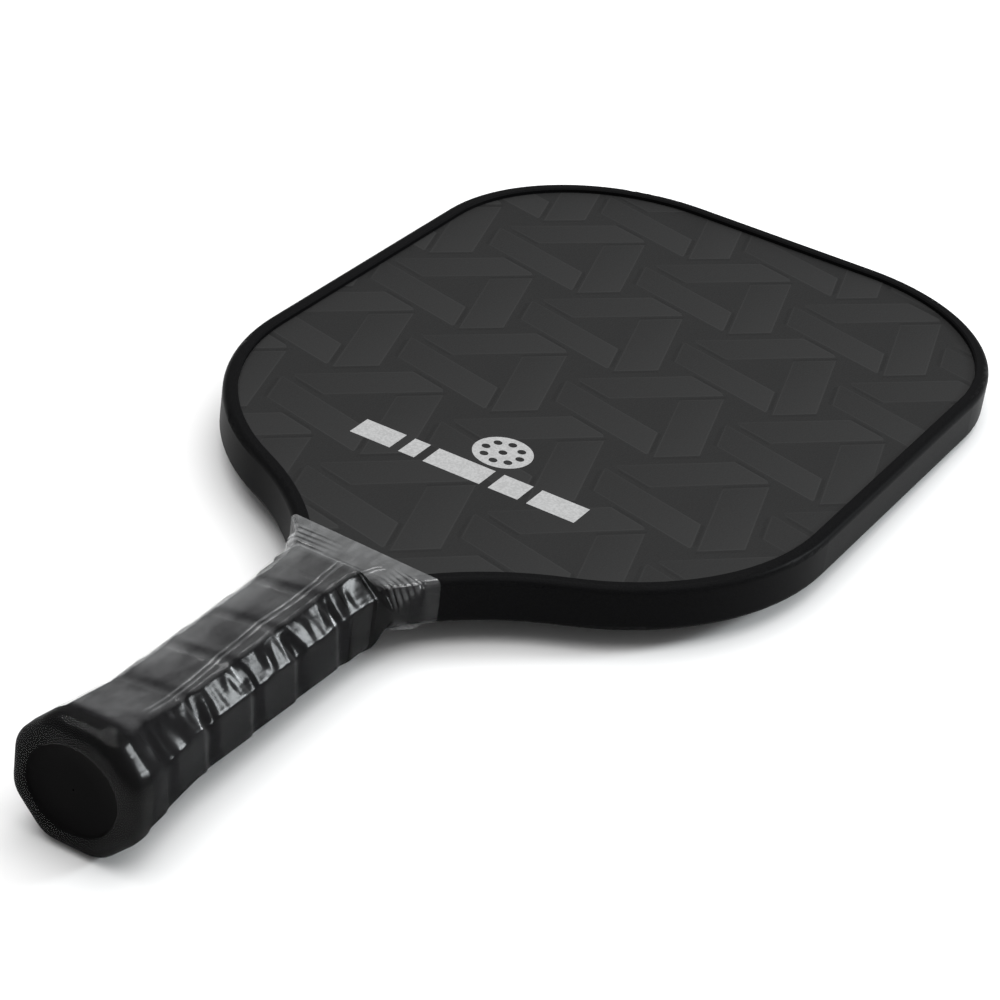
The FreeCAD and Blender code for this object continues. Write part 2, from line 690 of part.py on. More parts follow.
def sleeve_roll(clear):
    """Sections of the sleeve's roll round the rim, a quarter circle outside the cap's own."""
    stations = []
    for step in range(ROLL_STEPS + 1):
        angle = math.pi / 2 * step / ROLL_STEPS
        back = f"( rim_rounding + {clear} ) * {math.cos(angle):.4f}"
        inset = f"rim_rounding - ( rim_rounding + {clear} ) * {math.sin(angle):.4f}"
        stations.append((f"rim_rounding - rim_height - {back}", handle_octagon(1, inset)))
    return stations


def sleeve_stations(skin):
    """Sections of the shrink sleeve's surface, skin outside the slack over what it covers."""
    clear = f"( sleeve_gap + {skin} )"
    on_wrap = handle_octagon(0, f"0 - {clear}")
    on_tape = handle_octagon(0, f"0 - finish_thickness - {clear}")
    stations = sleeve_roll(clear) + flare_stations(f"0 - {clear}")
    stations.append((f"finish_start - {SLEEVE_BEFORE_TAPE}", on_wrap))
    stations.append((f"finish_start - {SLEEVE_PAST_TAPE}", on_tape))
    stations.append((f"finish_end + {SLEEVE_PAST_TAPE}", on_tape))
    lip = f"guard_half_height + {clear}"
    x, half_width, rise, corner = SLEEVE_SHOULDER
    stations.append((str(x), octagon(f"{half_width} + {clear}", f"{lip} + {rise}", str(corner))))
    for x, rise in SLEEVE_THROAT:
        edge = half_width_at(x, size["guard_reach"]) + size["sleeve_gap"]
        stations.append((str(x), octagon(f"{edge:.3f} + {clear}", f"{lip} + {rise}", SLEEVE_CORNER)))
    return stations


def shrink_sleeve():
    """The clear film shrunk over the whole handle and the guard's ends."""
    body = new_body("shrink_sleeve")
    loft(body, "AdditiveLoft", "sleeve_outside", sleeve_stations("sleeve_thickness"))
    loft(body, "SubtractiveLoft", "sleeve_inside", sleeve_stations("0"))
    opening = new_sketch(body, "sleeve_opening", "YZ_Plane", "0")
    draw_oval(opening, "end_half_width", "end_half_height")
    pocket(body, opening, "2 * rim_height")


# ---------------------------------------------------------------- staples

def cut_box(body, name, x, y, z, length, width, height):
    """Cut a box from a body; x, y and z are the box's lowest corner."""
    feature = body.newObject("PartDesign::SubtractiveBox", name)
    bind(feature, Length=length, Width=width, Height=height)
    bind(feature, Placement__Base__x=x, Placement__Base__y=y, Placement__Base__z=z)


def staple_boxes(side):
    """Crown and two legs of a staple: lowest corner and size of each box, as expressions."""
    low = "staple_top - staple_wire" if side > 0 else "0 - staple_top"
    leg_low = "staple_top - staple_wire - staple_leg" if side > 0 else "staple_wire - staple_top"
    left = "0 - staple_crown / 2"
    right = "staple_crown / 2 - staple_wire"
    return {
        "crown": ("staple_x", left, low, "staple_wire", "staple_crown", "staple_wire"),
        "left": ("staple_x", left, leg_low, "staple_wire", "staple_wire", "staple_leg"),
        "right": ("staple_x", right, leg_low, "staple_wire", "staple_wire", "staple_leg"),
    }


def butt_cap_staples(cap, wrap, pallets):
    """Two staples that hold the cap to the pallets, and the holes that they make."""
    staples = []
    for side, label, pallet in ((1, "front", pallets[0]), (-1, "back", pallets[1])):
        boxes = []
        for part, box in staple_boxes(side).items():
            x, y, z, length, width, height = box
            solid = doc.addObject("Part::Box", f"staple_{label}_{part}")
            bind(solid, Length=length, Width=width, Height=height)
            bind(solid, Placement__Base__x=x, Placement__Base__y=y, Placement__Base__z=z)
            boxes.append(solid)
            cut_box(cap, f"cap_{label}_{part}", *box)
            if part == "crown":
                cut_box(wrap, f"wrap_{label}_{part}", *box)
            else:
                cut_box(pallet, f"pallet_{label}_{part}", *box)
        staple = doc.addObject("Part::MultiFuse", f"staple_{label}")
        staple.Shapes = boxes
        staples.append(staple)
    group = node("butt_cap_staples", doc.addObject("Part::Compound", "butt_cap_staples"))
    group.Links = staples


# ---------------------------------------------------------------- assembly and export

def build():
    fill_sheet()
    honeycomb_core()
    for label, side in (("front", 1), ("back", -1)):
        panel_layer(f"{label}_core_veil", side, CORE_TOP, "veil_thickness")
        panel_layer(f"{label}_face_sheet", side, VEIL_TOP, "sheet_thickness")
        mark = printed_mark(f"{label}_mark", side)
        graphic_film(f"{label}_graphic_film", side, mark)
        pallet_adhesive(f"{label}_pallet_adhesive", side)
    edge_guard()
    edge_guard_tape()
    pallets = [handle_pallet("front_handle_pallet", 1), handle_pallet("back_handle_pallet", -1)]
    cap = butt_cap()
    underlay_tape()
    wrap = grip_wrap()
    finishing_tape()
    shrink_sleeve()
    butt_cap_staples(cap, wrap, pallets)
    doc.recompute()


def check():
    """Stop on any object that failed and any sub-part without a sound solid."""
    failed = [item.Name for item in doc.Objects if {"Invalid", "Error"} & set(item.State)]
    unsound = [
        name for name, thing in nodes.items()
        if thing.Shape.isNull() or not thing.Shape.isValid() or not thing.Shape.Solids
    ]
    if failed or unsound:
        raise RuntimeError(f"failed objects {failed}, unsound sub-parts {unsound}")


def write():
    os.makedirs("parts", exist_ok=True)
    for name, thing in nodes.items():
        thing.Shape.exportStep(f"parts/{name}.step")
        box = thing.Shape.BoundBox
        print(
            f"{name:24s} {len(thing.Shape.Solids):3d} solids {thing.Shape.Volume / 1000:8.2f} cm3  "
            f"x {box.XMin:7.2f}..{box.XMax:7.2f}  y {box.YMin:7.2f}..{box.YMax:7.2f}  "
            f"z {box.ZMin:7.2f}..{box.ZMax:7.2f}"
        )


build()
check()
write()
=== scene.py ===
import math

import bpy
import numpy as np
from mathutils import Matrix, Vector


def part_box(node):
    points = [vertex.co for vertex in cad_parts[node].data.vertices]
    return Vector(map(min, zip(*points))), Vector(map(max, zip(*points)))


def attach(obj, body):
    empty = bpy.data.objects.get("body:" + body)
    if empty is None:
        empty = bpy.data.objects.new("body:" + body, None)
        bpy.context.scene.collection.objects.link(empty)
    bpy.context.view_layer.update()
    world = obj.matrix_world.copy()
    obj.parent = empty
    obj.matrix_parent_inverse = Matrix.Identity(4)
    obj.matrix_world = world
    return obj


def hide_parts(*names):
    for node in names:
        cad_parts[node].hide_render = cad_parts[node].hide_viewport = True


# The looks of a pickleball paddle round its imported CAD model. Row frame: +X runs along the handle to
# the blade's tip, +Z points out of the front face. Lengths in this file are millimetres until a mesh
# is made, and MM turns them into Blender's metres.
MM = 0.001
HAIR = 0.05  # a gap or shift too small to see

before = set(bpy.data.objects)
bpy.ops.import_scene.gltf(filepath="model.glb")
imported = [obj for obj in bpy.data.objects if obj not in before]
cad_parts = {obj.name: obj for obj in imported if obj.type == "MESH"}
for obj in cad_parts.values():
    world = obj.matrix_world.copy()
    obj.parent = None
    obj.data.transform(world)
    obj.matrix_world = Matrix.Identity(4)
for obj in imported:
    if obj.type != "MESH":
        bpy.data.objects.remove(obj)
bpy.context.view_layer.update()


# ---------------------------------------------------------------- places read from the frame

def box_mm(node):
    low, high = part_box(node)
    return np.array(low) / MM, np.array(high) / MM


CAP_LOW, CAP_HIGH = box_mm("butt_cap")
WRAP_LOW, WRAP_HIGH = box_mm("grip_wrap")
TAPE_LOW, TAPE_HIGH = box_mm("grip_finishing_tape")
GUARD_LOW, GUARD_HIGH = box_mm("edge_guard")
SLEEVE_LOW, SLEEVE_HIGH = box_mm("shrink_sleeve")

TAPE_THICKNESS = 0.35
FILM_SLACK = 0.12  # gap between the film and what it covers
COLLAR = {"width": CAP_HIGH[1], "height": CAP_HIGH[2], "bevel": 10.9}
GRIP = {"width": TAPE_HIGH[1] - TAPE_THICKNESS, "height": TAPE_HIGH[2] - TAPE_THICKNESS, "bevel": 7.1}
RIM_X = CAP_LOW[0]
COLLAR_END = WRAP_LOW[0]
GRIP_END = WRAP_HIGH[0]
FLARE_LENGTH = 27.0
FLARE_SOFTNESS = 1.15
RIM_ROUNDING = 4.0
RIM_STEPS = 8
COLLAR_ROUNDING = 8.6  # how softly the collar's eight corners are rounded
GRIP_ROUNDING = 2.2  # and those of the grip under the film
BEVEL_LOSS = 2 - math.sqrt(2)  # what an octagon's corner cut loses for each unit that it shrinks
END_OVAL = (14.1, 12.9)  # half width and half height of the matte oval in the butt end
OVAL_DEPTH = 0.9
FILM_END = SLEEVE_HIGH[0]
LIP = GUARD_HIGH[2]


def guard_edges():
    """Both ends of every edge of the guard's mesh near the throat."""
    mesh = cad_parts["edge_guard"].data
    points = np.array([vertex.co for vertex in mesh.vertices]) / MM
    ends = points[np.array([edge.vertices[:] for edge in mesh.edges])]
    return ends[ends[:, :, 0].min(axis=1) < FILM_END + 5]


def guard_half_width(x, ends):
    """Half the width over the guard at x, from the edges that cross the plane there."""
    x = max(x, GUARD_LOW[0] + HAIR)
    start, end = ends[:, 0], ends[:, 1]
    span = end[:, 0] - start[:, 0]
    crossing = (start[:, 0] - x) * (end[:, 0] - x) <= 0
    crossing &= abs(span) > 1e-6
    share = (x - start[crossing, 0]) / span[crossing]
    y = start[crossing, 1] + share * (end[crossing, 1] - start[crossing, 1])
    return abs(y).max()


def throat_table():
    """Half widths over the guard at closely spaced x under the film."""
    ends = guard_edges()
    xs = np.arange(TAPE_LOW[0], FILM_END + 0.5, 0.25)
    return xs, np.array([guard_half_width(x, ends) for x in xs])


# ---------------------------------------------------------------- handle sections

CORNER_STEPS = 4  # points that round each of a section's eight corners
SIDE_STEPS = {"top": 44, "side": 16, "bevel": 14}


def smooth(value, low, high):
    """0 below low, 1 above high, and a smooth rise between them."""
    share = np.clip((value - low) / (high - low), 0, 1)
    return share * share * (3 - 2 * share)


def bump_at(value, centre, half_width):
    """A smooth hill of height 1 that is gone half_width away from its centre."""
    return 1 - smooth(abs(value - centre), 0, half_width)


def flare_at(x):
    """1 at the collar, dying out to 0 at the plain grip."""
    left = np.clip(1 - (x - COLLAR_END) / FLARE_LENGTH, 0, 1)
    return left ** FLARE_SOFTNESS


def handle_size(x):
    """Half width, half height and corner cut of the wrapped handle at x."""
    flare = flare_at(x)
    return [GRIP[key] + flare * (COLLAR[key] - GRIP[key]) for key in ("width", "height", "bevel")]


def section(width, height, bevel, rounding, top_knots):
    """Points and outward directions round a rounded octagon, with a fixed number of points on each
    of its sides. top_knots are the shares of the top side's width where its points lie."""
    corners = [
        (width, -(height - bevel)), (width, height - bevel), (width - bevel, height),
        (-(width - bevel), height), (-width, height - bevel), (-width, -(height - bevel)),
        (-(width - bevel), -height), (width - bevel, -height),
    ]
    kinds = ("side", "bevel", "top", "bevel", "side", "bevel", "bottom", "bevel")
    corners = [np.array(corner) for corner in corners]
    points, normals = [], []
    for index, kind in enumerate(kinds):
        start, end = corners[index], corners[(index + 1) % 8]
        after = corners[(index + 2) % 8]
        along = (end - start) / np.linalg.norm(end - start)
        onward = (after - end) / np.linalg.norm(after - end)
        turn = math.acos(np.clip(along @ onward, -1, 1))
        back = rounding * math.tan(turn / 2)
        outward = np.array([along[1], -along[0]])
        if kind == "top":
            shares = top_knots
        elif kind == "bottom":
            shares = 1 - top_knots[::-1]
        else:
            shares = np.linspace(0, 1, SIDE_STEPS[kind] + 1)
        first, last = start + back * along, end - back * along
        for share in shares:
            points.append(first + share * (last - first))
            normals.append(outward)
        centre = last - rounding * outward
        for step in range(1, CORNER_STEPS):
            angle = turn * step / CORNER_STEPS
            spun = outward * math.cos(angle) + along * math.sin(angle)
            points.append(centre + rounding * spun)
            normals.append(spun)
    return np.array(points), np.array(normals)


def even_knots():
    return np.linspace(0, 1, SIDE_STEPS["top"] + 1)


# ---------------------------------------------------------------- mesh helpers

def make_mesh(name, points, faces, sharp_angle=None):
    """A smooth-shaded mesh object from points in millimetres."""
    mesh = bpy.data.meshes.new(name)
    mesh.from_pydata((np.asarray(points) * MM).tolist(), [], faces)
    mesh.validate()
    mesh.shade_smooth()
    piece = bpy.data.objects.new(name, mesh)
    bpy.context.scene.collection.objects.link(piece)
    if sharp_angle is not None:
        mesh.set_sharp_from_angle(angle=math.radians(sharp_angle))
    return piece


def grid_faces(rows, columns, closed=True, offset=0, flip=False):
    """Quads between neighbouring rows of a grid whose columns run round a loop."""
    faces = []
    for row in range(rows - 1):
        for column in range(columns if closed else columns - 1):
            beside = (column + 1) % columns
            quad = (
                offset + row * columns + column, offset + row * columns + beside,
                offset + (row + 1) * columns + beside, offset + (row + 1) * columns + column,
            )
            faces.append(quad[::-1] if flip else quad)
    return faces


def shell(name, outer, inner):
    """A closed tube wall between two grids of the same shape, indexed [row, column, axis]."""
    rows, columns = outer.shape[:2]
    count = rows * columns
    faces = grid_faces(rows, columns) + grid_faces(rows, columns, offset=count, flip=True)
    for column in range(columns):
        beside = (column + 1) % columns
        faces.append((beside, column, count + column, count + beside))
        last = (rows - 1) * columns
        faces.append((last + column, last + beside, count + last + beside, count + last + column))
    points = np.concatenate([outer.reshape(-1, 3), inner.reshape(-1, 3)])
    return make_mesh(name, points, faces, sharp_angle=60)


def finish_piece(piece, material, slot, *nodes):
    """Give a new piece its material and its body, and hide the CAD nodes that it stands for."""
    piece.data.materials.append(material)
    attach(piece, "root")
    if nodes:
        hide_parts(*nodes)
    return piece


# ---------------------------------------------------------------- wound grip

WRAP_PITCH = 20.4  # advance of the wrap for each turn
WRAP_WIDTH = 26.0
WRAP_THICKNESS = 1.6
WRAP_STEP = 0.55  # how far each turn's edge stands over the turn beneath
WRAP_START = 4.0  # x of the wrap's leading edge at angle zero
LEAST_WIDTH = 0.3  # a strip narrower than this isn't drawn
EDGE_DROP, EDGE_WIDTH = 0.5, 0.7  # how the strip's edges round off
# shares of the strip's width where its points lie, closer at its edges
ACROSS = np.array([0, 0.012, 0.03, 0.06, 0.12, 0.2, 0.35, 0.5, 0.65, 0.8, 0.88, 0.94, 0.97, 0.985, 1])


def wound_wrap():
    """The cushioned wrap as one helical strip whose far edge laps over the turn beneath."""
    knots = even_knots()
    slim, normals = section(GRIP["width"], GRIP["height"], GRIP["bevel"], GRIP_ROUNDING, knots)
    wide_rounding = COLLAR_ROUNDING + 0.3  # keeps the wrap inside the film where they meet the collar
    wide = section(COLLAR["width"], COLLAR["height"], COLLAR["bevel"], wide_rounding, knots)[0]
    ring_size, shares = len(slim), arc_shares(slim)
    turns = (GRIP_END - WRAP_START + WRAP_WIDTH) / WRAP_PITCH
    outer, inner = [], []
    for step in range(int(turns * ring_size)):
        turn = step // ring_size + shares[step % ring_size]
        low = max(COLLAR_END + HAIR, WRAP_START - WRAP_WIDTH + WRAP_PITCH * turn)
        high = min(GRIP_END, WRAP_START + WRAP_PITCH * turn)
        if high - low < LEAST_WIDTH:
            continue
        place = step % ring_size
        x = low + ACROSS * (high - low)
        point = slim[place] + flare_at(x)[:, None] * (wide[place] - slim[place])
        edge = np.minimum(ACROSS, 1 - ACROSS) * (high - low)
        depth = WRAP_STEP * (1 - ACROSS) + EDGE_DROP * (1 - smooth(edge, 0, EDGE_WIDTH))
        outer.append(np.column_stack([x, point - depth[:, None] * normals[place]]))
        inner.append(np.column_stack([x, point - (WRAP_THICKNESS + HAIR) * normals[place]]))
    outer, inner = np.array(outer), np.array(inner)
    rows, columns = outer.shape[:2]
    count = rows * columns
    faces = grid_faces(rows, columns, closed=False)
    faces += grid_faces(rows, columns, closed=False, offset=count, flip=True)
    for row in range(rows - 1):
        here, there = row * columns, (row + 1) * columns
        faces.append((here, there, count + there, count + here))
        far_here, far_there = here + columns - 1, there + columns - 1
        faces.append((far_there, far_here, count + far_here, count + far_there))
    faces.append(tuple(range(columns)) + tuple(range(count + columns - 1, count - 1, -1)))
    last = (rows - 1) * columns
    end = tuple(range(last + columns - 1, last - 1, -1))
    faces.append(end + tuple(range(count + last, count + last + columns)))
    points = np.concatenate([outer.reshape(-1, 3), inner.reshape(-1, 3)])
    return make_mesh("wound_grip_wrap", points, faces, sharp_angle=50)


def arc_shares(points):
    """How far round its ring each point lies, as a share of the ring's length."""
    steps = np.linalg.norm(points - np.roll(points, 1, axis=0), axis=1)
    return (np.cumsum(steps) - steps[0]) / steps.sum()


def seam_distance(x, ring_share):
    """How far x is past the wrap's nearest visible edge, at a share of the way round."""
    edge = WRAP_START + WRAP_PITCH * ring_share
    return (x - edge + WRAP_PITCH / 2) % WRAP_PITCH - WRAP_PITCH / 2


# ---------------------------------------------------------------- shrink film

FILM_THICKNESS = 0.08
FILM_ROUNDING = 2.4  # of its corners on the grip
# spans of x, and how many rings each holds: closer where the film is folded
FILM_SPANS = ((COLLAR_END - 2.5, 30, 40), (30.6, 100, 100), (100.5, 116, 30), (116.35, FILM_END, 58))
FULL_LEAN = 0.999  # of the film's wall on the flat butt end; 1 would leave it no outward part
SEAM_RISE = 0.22  # over an edge of the wrap's turns
WAVE_SEED = 7
TURN = 6.28  # a wave's full turn in radians

# the welded seam along the top: x, and y at that x
SEAL_LINE = (
    (5, -7.6), (23, -6.9), (45, -5.6), (71, -4.2), (94, -4.7), (112, -4.0), (124, -6.0), (137, -11.0))
SEAL_START = 17.0
SEAL_END = 133.0
SEAL_HALF = 1.3
SEAL_POINTS = 14  # steps of the film's points across the seam
SEAL_SHARE = 0.3  # share of the top side's other steps that lie right of the seam
SEAL_RISE = 0.15
SEAL_RIDGE = (0.78, 0.55)  # the two raised lines' distance from the seam's middle, and half width
CRINKLE_RISE = 0.10

# the film's grey on each side of the handle, set per side: painted light and shade for how light falls on
# each side, on top of the film's own haze. Columns: direction faced, in degrees from +Y, and haze. Haze 0 is
# clear and 1 a light grey; below 0, the shine goes too and the film hides nothing.
FACING = (-180, -135, -90, -45, 0, 45, 62, 90, 115, 135, 158, 180)
HAZE = (0.07, 0.35, 0.5, 0.4, 0.7, 2.4, 1.1, 0.50, 0.36, 0.02, 0.03, 0.07)
HAZE_LIMITS = (-1.0, 4.2)
# how strongly the painted light and shade of the throat's gathers show on each side: direction faced, and
# strength
DRAWN_FACING = (-180, -135, -100, -80, -45, 0, 45, 80, 100, 122, 140, 180)
DRAWN = (0.0, 0.3, 1.0, 1.0, 0.8, 0.9, 0.9, 1.0, 1.0, 0.8, 0.15, 0.0)

BRIDGE_START = 102.0  # x where the film leaves the handle's sides to bridge the corner at the blade
BRIDGE_TURN = 18.0  # length over which it turns outwards
BRIDGE_SLOPE = 0.337
FALL_END = 120.8  # x where the film has come down from the handle to the blade
BLADE_BEVEL, BLADE_ROUNDING = 1.35, 1.3  # of the film's section on the blade
END_SLANT = 2.4  # how much sooner the film ends on the right side of the blade
FOOT_X = 117.4  # x of the dark line where the film dips between handle and blade, at the edges
FOOT_BOW = 0.9  # how much further along it lies in the middle
FOLD_PITCH = 2.4  # from one gather to the next
FOLD_RISE = {"left": 0.09, "right": 0.15}
FOLD_LEAN = {"left": 0.06, "right": 0.42}  # how far the gathers fan out towards the edges
END_BAND = 3.4  # width of the plain band at the film's end


def seal_y(x):
    """The seam's y, straight on the grip and drawn to the blade's right corner at its end."""
    return np.interp(x, *zip(*SEAL_LINE))


def film_knots(x, half_top):
    """Shares across the top side for the film's points, crowded together at the welded seam."""
    middle = (seal_y(x) + half_top) / (2 * half_top)
    half = SEAL_HALF / (2 * half_top)
    before = int((SIDE_STEPS["top"] - SEAL_POINTS) * SEAL_SHARE)
    after = SIDE_STEPS["top"] - SEAL_POINTS - before
    knots = np.concatenate([
        np.linspace(0, middle - half, before + 1)[:-1],
        np.linspace(middle - half, middle + half, SEAL_POINTS + 1),
        np.linspace(middle + half, 1, after + 1)[1:],
    ])
    return 1 - knots[::-1]


def film_rows():
    """x positions of the film's rings."""
    return np.concatenate([np.linspace(*span) for span in FILM_SPANS])


def film_width(x, throat):
    """Half width of the film before folds, for one x or many: the wider of a film drawn tight on
    handle and guard, and one that bridges the corner between them."""
    width = np.asarray(handle_size(x)[0]) + film_gap(x)
    blade = np.interp(x, *throat) + FILM_SLACK
    tight = width + (blade - width) * smooth(x, TAPE_HIGH[0] - 2, GUARD_LOW[0] - 0.4)
    past = np.clip(x - BRIDGE_START, 0, None)
    turning = np.minimum(past, BRIDGE_TURN) ** 2 / (2 * BRIDGE_TURN)
    outwards = BRIDGE_SLOPE * (turning + np.clip(past - BRIDGE_TURN, 0, None))
    return np.maximum(tight, width + outwards * (1 - smooth(x, FILM_END - 8, FILM_END - 3)))


def film_gap(x):
    """How far the film's smooth shape stands off the wrapped handle."""
    return TAPE_THICKNESS * smooth(x, TAPE_LOW[0] - 5.0, TAPE_LOW[0] + 0.6) + FILM_SLACK


def film_size(x, throat):
    """Half width, half height, corner cut and rounding of the film's section at x, before folds."""
    height, bevel = handle_size(x)[1:]
    height = height + film_gap(x)
    draw = smooth(x, TAPE_HIGH[0] - 0.5, FILM_END - 3.5)
    fall = smooth(x, TAPE_HIGH[0] - 1, FALL_END)
    height = height + (LIP + FILM_SLACK - height) * fall
    bevel = bevel + (BLADE_BEVEL - bevel) * draw
    rounding = FILM_ROUNDING + (BLADE_ROUNDING - FILM_ROUNDING) * draw
    rounding = rounding + (COLLAR_ROUNDING - FILM_ROUNDING) * flare_at(x) ** 3
    return film_width(x, throat), height, bevel, rounding


def slant_end(x, points, throat):
    """The ring's points with the film's end cut a little aslant, and still fitted to the guard."""
    y = points[:, 0]
    half = abs(y).max()
    back = END_SLANT * smooth(x, 118, FILM_END) * (0.5 - 0.5 * y / half)
    xs = x - back
    y = y * film_width(xs, throat) / film_width(x, throat)
    return np.column_stack([xs, y, points[:, 1]])


def rim_rings(slack):
    """x, points and directions of the rings that roll round the butt rim, slack outside the cap."""
    rings = []
    knots = film_knots(COLLAR_END, COLLAR["width"] - COLLAR["bevel"])
    reach = RIM_ROUNDING + slack
    for step in range(RIM_STEPS + 1):
        angle = math.pi / 2 * step / RIM_STEPS
        inset = RIM_ROUNDING - reach * math.sin(angle)
        points, normals = section(
            COLLAR["width"] - inset, COLLAR["height"] - inset, COLLAR["bevel"] - BEVEL_LOSS * inset,
            COLLAR_ROUNDING - 0.5 * max(inset, 0), knots)
        rings.append((RIM_X + RIM_ROUNDING - reach * math.cos(angle), points, normals, angle))
    return rings


def end_oval(directions):
    """The opening in the film over the butt end, one point for each direction."""
    angles = np.arctan2(directions[:, 1], directions[:, 0])
    return np.column_stack([END_OVAL[0] * np.cos(angles), END_OVAL[1] * np.sin(angles)])


def butt_end():
    """The cap's end: a rolled rim round a matte oval that lies a little deeper."""
    rings = rim_rings(-0.02)
    oval = end_oval(rings[0][2])
    floor = RIM_X + OVAL_DEPTH
    outer = [(floor, oval * 0.02), (floor, oval * 0.5), (floor, oval * 0.95), (floor - 0.25, oval * 0.985),
             (RIM_X + 0.2, oval), (RIM_X + 0.02, oval * 1.02)]
    outer += [(x, points) for x, points, _, _ in rings] + [(COLLAR_END, rings[-1][1])]
    outer = np.array([np.column_stack([np.full(len(points), x), points]) for x, points in outer])
    inner = outer * (1.0, 0.9, 0.9)
    inner[:, :, 0] = np.minimum(inner[:, :, 0] + 1.5, COLLAR_END)
    return shell("butt_end", outer, inner)


class Ring:
    """One ring of the film: its points, outward directions, and what the fold rules ask about it."""

    def __init__(self, x, points, normals):
        self.x = x
        self.y = points[:, 0]
        self.shares = arc_shares(points)
        self.facing = np.degrees(np.arctan2(normals[:, 1], normals[:, 0]))
        self.top = smooth(normals[:, 1], 0.2, 0.9)  # 1 on the top side
        self.flat = smooth(abs(normals[:, 1]), 0.8, 0.98)  # 1 on the top and bottom sides
        self.upper = smooth(abs(normals[:, 1]), 0.05, 0.45)  # 0 on the left and right sides
        self.side = np.clip(abs(self.y) / abs(self.y).max(), 0, 1)  # 0 in the middle, 1 at the edges
        self.weld = abs(self.y - seal_y(x))  # distance from the welded seam
        # strength, on this side, of the painted light and shade of the gathers and of the end band
        self.drawn = np.interp(self.facing, DRAWN_FACING, DRAWN)


def ripples(ring, waves):
    """Small unevenness of the film, calmer on the flat top and bottom."""
    height = 0
    for wavelength, around, phase, slope in waves:
        height = height + slope * wavelength / TURN * np.sin(
            TURN * (ring.x / wavelength + ring.shares * around) + phase)
    return height * (1 - 0.6 * ring.flat) * (0.25 + 0.75 * smooth(ring.x, 10, 16))


def seam_folds(ring):
    """Rise, and painted light and shade, where the film steps over the edges of the wrap's turns: a painted
    highlight line at each edge and a painted shade band behind it."""
    on_grip = smooth(ring.x, 12, 18) * (1 - smooth(ring.x, 100, 108))
    seam = seam_distance(ring.x, ring.shares)
    rise = SEAM_RISE * on_grip * (smooth(seam, -3.2, 0) - smooth(seam, 0.2, 8.0))
    haze = on_grip * (0.16 * bump_at(seam, -1.0, 1.1) - 0.34 * bump_at(seam, 2.6, 3.4))
    return rise, haze


def weld_folds(ring):
    """Rise and grey of the welded seam: two raised lines shown lighter, and a crinkle at its end with painted
    light and shade that follow its folds.
    """
    crinkle = np.sin(ring.x * 2.9 + ring.y * 1.7) * np.sin(ring.x * 1.3 - ring.y * 2.6 + 1.0)
    along = smooth(ring.x, SEAL_START, SEAL_START + 5) * (1 - smooth(ring.x, SEAL_END - 4, SEAL_END))
    ridges = along * ring.top * bump_at(ring.weld, *SEAL_RIDGE)
    end = bump_at(ring.x, SEAL_END - 2.5, 4.5) * bump_at(ring.y, seal_y(ring.x) + 2, 6) * ring.top
    rise = SEAL_RISE * ridges + CRINKLE_RISE * end * crinkle
    # the crinkle's lighter and darker grey is painted light and shade
    haze = 0.8 * ridges + 0.55 * end * crinkle
    return rise, haze


def throat_folds(ring):
    """Rise of the gathers where the film is drawn down on the blade, with painted light and shade on and
    round them.
    """
    left = ring.y > 0
    reach = np.where(left, smooth(ring.side, 0.12, 0.72), smooth(ring.side, 0.42, 0.78))
    lean = np.where(left, FOLD_LEAN["left"], FOLD_LEAN["right"])
    x = ring.x + lean * (abs(ring.y) - 18)
    foot = FOOT_X + FOOT_BOW * (1 - ring.side ** 2)
    ending = 1 - smooth(ring.x, FILM_END - END_BAND - 1.2, FILM_END - END_BAND)
    gathers = smooth(x, foot + 0.6, foot + 2.6) * ending * reach
    phase = TURN * x / FOLD_PITCH
    wave = np.sin(phase) + 0.35 * np.sin(2 * phase + 1.3)
    rise = np.where(left, FOLD_RISE["left"], FOLD_RISE["right"]) * gathers * ring.upper * (wave + 0.8)
    # painted light and shade that follow the gathers' waves
    haze = 0.85 * gathers * wave
    haze = haze - 1.1 * bump_at(ring.x, foot, 2.6)  # a painted shadow line at the foot
    haze = haze + 0.55 * bump_at(ring.x, foot - 4.6, 3.6)  # a painted highlight line before it
    haze = haze + 1.15 * smooth(ring.x, foot + 0.5, foot + 7.5)  # and painted light on the blade beyond
    blot = 1.6 * bump_at(ring.x, 116.0, 6.5) * bump_at(ring.y, -13.5, 6.0)  # painted shade, black, right of the seam
    return rise, haze * ring.drawn - blot


def film_state(ring, waves, fine_waves):
    """How far the film stands off its smooth shape, and its cloudiness with painted light and shade, for each
    point of a ring.
    """
    seam_rise, seam_haze = seam_folds(ring)
    weld_rise, weld_haze = weld_folds(ring)
    throat_rise, throat_haze = throat_folds(ring)
    band = smooth(ring.x, FILM_END - END_BAND - 0.2, FILM_END - END_BAND + 0.2)
    tight = 1 - smooth(ring.x, COLLAR_END + 0.5, COLLAR_END + 4.5)
    # grey by the side faced, made lighter on the flare's left bevel and on the top's left side: painted light
    haze = np.interp(ring.facing, FACING, HAZE) * (1 - 0.45 * smooth(ring.x, 116, 122))
    flare_left = bump_at(ring.x, 22, 18) * bump_at(ring.facing, 45, 70)
    top_left = smooth(ring.y, 1.0, 8.5) * bump_at(ring.facing, 90, 30) * (1 - smooth(ring.x, 108, 116))
    haze = haze + 0.5 * flare_left + 0.40 * top_left + seam_haze + weld_haze + throat_haze
    # the plain end band, made lighter on the sides where the gathers' painted light is strong
    haze = haze * (1 - 0.93 * tight) * (1 - band) + band * (0.12 + 1.3 * ring.drawn)
    rise = ripples(ring, waves) + seam_rise + weld_rise + throat_rise
    # the film can't sink into what it covers, so low places are lifted softly to its smooth shape
    lifted = 0.5 * (rise + np.sqrt(rise * rise + 0.08 ** 2)) - 0.04 + ripples(ring, fine_waves)
    return lifted * (1 - band), np.clip(haze, *HAZE_LIMITS)


